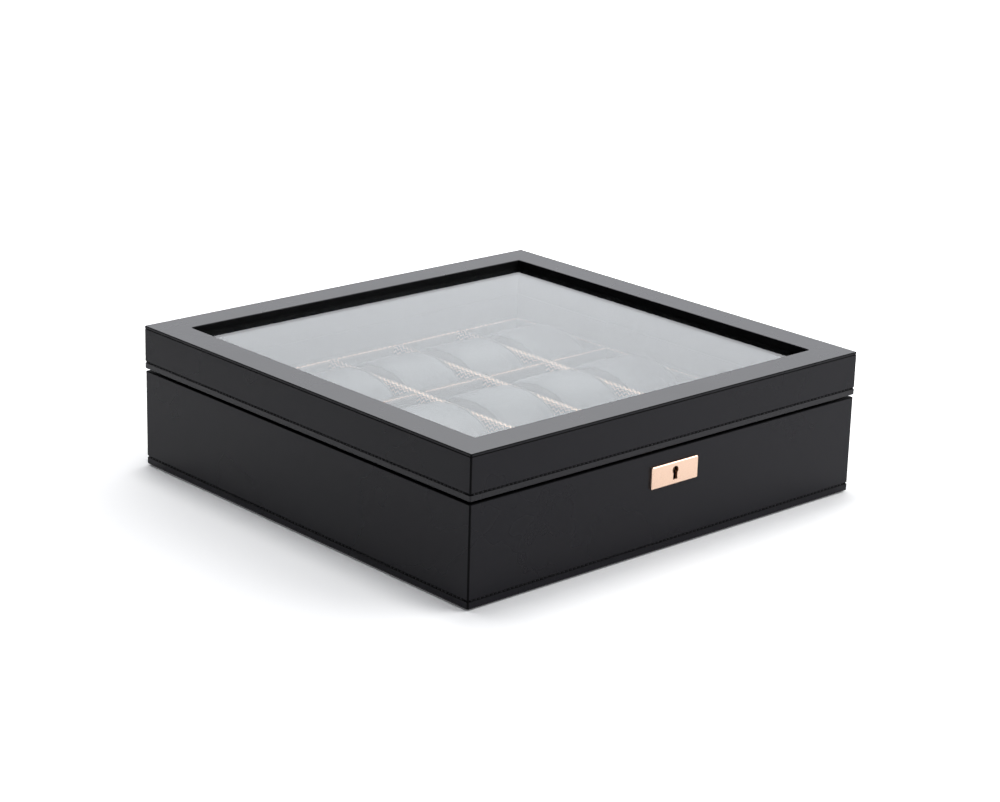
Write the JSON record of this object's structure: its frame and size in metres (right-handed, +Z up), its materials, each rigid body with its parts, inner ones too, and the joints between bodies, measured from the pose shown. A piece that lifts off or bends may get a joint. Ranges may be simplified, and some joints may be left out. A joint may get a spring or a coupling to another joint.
{
  "type": "watch box",
  "caption": "Low rectangular watch box covered in smooth black leather, with a hinged glazed lid, a lock plate on the front and a divided tray of padded watch cuffs.",
  "frame": {"origin": "centre of the box's footprint, on the surface it rests on", "axes": "+X along the face with the lock, +Y from that face to the hinges, +Z up"},
  "size_m": [0.311, 0.3066, 0.09],
  "materials": {
    "black_leather": "smooth satin, edge painted",
    "fibreboard": "sanded fibreboard",
    "suede_lining": "brushed suede cloth",
    "suede_pad": "brushed suede cloth",
    "patterned_cloth": "copper figure woven on black",
    "cuff_leather": "soft padded, sewn",
    "clear_glass": "polished float glass",
    "rose_gold": "rose-gold plated, satin",
    "lock_brass": "machined",
    "lock_steel": "bright steel",
    "hinge_metal": "rose-gold plated, satin"
  },
  "bodies": {
    "base": {"base_back_board": "fibreboard", "base_floor": "fibreboard", "base_front_board": "fibreboard", "base_leather": "black_leather", "base_left_board": "fibreboard", "base_pad": "suede_pad", "base_right_board": "fibreboard", "base_screws": "lock_steel", "column_divider_1": "patterned_cloth", "column_divider_2": "patterned_cloth", "column_divider_3": "patterned_cloth", "column_divider_4": "patterned_cloth", "hinge_base_leaves": "hinge_metal", "hinge_pins": "lock_steel", "lining_back": "suede_lining", "lining_floor": "suede_lining", "lining_front": "suede_lining", "lining_left": "suede_lining", "lining_right": "suede_lining", "lock_cap": "lock_brass", "lock_case": "lock_brass", "lock_plate": "rose_gold", "lock_spring": "lock_steel", "row_divider_front": "patterned_cloth", "row_divider_rear": "patterned_cloth", "tray_back_wall": "patterned_cloth", "tray_front_wall": "patterned_cloth", "tray_left_wall": "patterned_cloth", "tray_right_wall": "patterned_cloth"},
    "lid": {"glass_pane": "clear_glass", "hinge_lid_leaves": "hinge_metal", "lid_back_rail": "fibreboard", "lid_front_rail": "fibreboard", "lid_left_rail": "fibreboard", "lid_lining_back": "suede_lining", "lid_lining_front": "suede_lining", "lid_lining_left": "suede_lining", "lid_lining_right": "suede_lining", "lid_right_rail": "fibreboard", "lid_screws": "lock_steel", "lid_side_leather": "black_leather", "lid_top_leather": "black_leather", "strike_plate": "lock_brass"},
    "bolt": {"lock_bolt": "lock_steel"},
    "cuff_r1c1": {"cuff_r1c1": "cuff_leather"},
    "cuff_r1c2": {"cuff_r1c2": "cuff_leather"},
    "cuff_r1c3": {"cuff_r1c3": "cuff_leather"},
    "cuff_r1c4": {"cuff_r1c4": "cuff_leather"},
    "cuff_r1c5": {"cuff_r1c5": "cuff_leather"},
    "cuff_r2c1": {"cuff_r2c1": "cuff_leather"},
    "cuff_r2c2": {"cuff_r2c2": "cuff_leather"},
    "cuff_r2c3": {"cuff_r2c3": "cuff_leather"},
    "cuff_r2c4": {"cuff_r2c4": "cuff_leather"},
    "cuff_r2c5": {"cuff_r2c5": "cuff_leather"},
    "cuff_r3c1": {"cuff_r3c1": "cuff_leather"},
    "cuff_r3c2": {"cuff_r3c2": "cuff_leather"},
    "cuff_r3c3": {"cuff_r3c3": "cuff_leather"},
    "cuff_r3c4": {"cuff_r3c4": "cuff_leather"},
    "cuff_r3c5": {"cuff_r3c5": "cuff_leather"}
  },
  "joints": [
    {"name": "lid_hinge", "type": "hinge", "parent": "base", "child": "lid", "pos_m": [0, 0.15205, 0.06205], "axis": [-1, 0, 0], "range_deg": [0, 95]},
    {"name": "bolt_slide", "type": "slide", "parent": "base", "child": "bolt", "axis": [-1, 0, 0], "range_m": [0, 0.005]},
    {"name": "cuff_r1c1_lift", "type": "slide", "parent": "base", "child": "cuff_r1c1", "axis": [0, 0, 1], "range_m": [0, 0.029]},
    {"name": "cuff_r1c2_lift", "type": "slide", "parent": "base", "child": "cuff_r1c2", "axis": [0, 0, 1], "range_m": [0, 0.029]},
    {"name": "cuff_r1c3_lift", "type": "slide", "parent": "base", "child": "cuff_r1c3", "axis": [0, 0, 1], "range_m": [0, 0.029]},
    {"name": "cuff_r1c4_lift", "type": "slide", "parent": "base", "child": "cuff_r1c4", "axis": [0, 0, 1], "range_m": [0, 0.029]},
    {"name": "cuff_r1c5_lift", "type": "slide", "parent": "base", "child": "cuff_r1c5", "axis": [0, 0, 1], "range_m": [0, 0.029]},
    {"name": "cuff_r2c1_lift", "type": "slide", "parent": "base", "child": "cuff_r2c1", "axis": [0, 0, 1], "range_m": [0, 0.029]},
    {"name": "cuff_r2c2_lift", "type": "slide", "parent": "base", "child": "cuff_r2c2", "axis": [0, 0, 1], "range_m": [0, 0.029]},
    {"name": "cuff_r2c3_lift", "type": "slide", "parent": "base", "child": "cuff_r2c3", "axis": [0, 0, 1], "range_m": [0, 0.029]},
    {"name": "cuff_r2c4_lift", "type": "slide", "parent": "base", "child": "cuff_r2c4", "axis": [0, 0, 1], "range_m": [0, 0.029]},
    {"name": "cuff_r2c5_lift", "type": "slide", "parent": "base", "child": "cuff_r2c5", "axis": [0, 0, 1], "range_m": [0, 0.029]},
    {"name": "cuff_r3c1_lift", "type": "slide", "parent": "base", "child": "cuff_r3c1", "axis": [0, 0, 1], "range_m": [0, 0.029]},
    {"name": "cuff_r3c2_lift", "type": "slide", "parent": "base", "child": "cuff_r3c2", "axis": [0, 0, 1], "range_m": [0, 0.029]},
    {"name": "cuff_r3c3_lift", "type": "slide", "parent": "base", "child": "cuff_r3c3", "axis": [0, 0, 1], "range_m": [0, 0.029]},
    {"name": "cuff_r3c4_lift", "type": "slide", "parent": "base", "child": "cuff_r3c4", "axis": [0, 0, 1], "range_m": [0, 0.029]},
    {"name": "cuff_r3c5_lift", "type": "slide", "parent": "base", "child": "cuff_r3c5", "axis": [0, 0, 1], "range_m": [0, 0.029]}
  ]
}
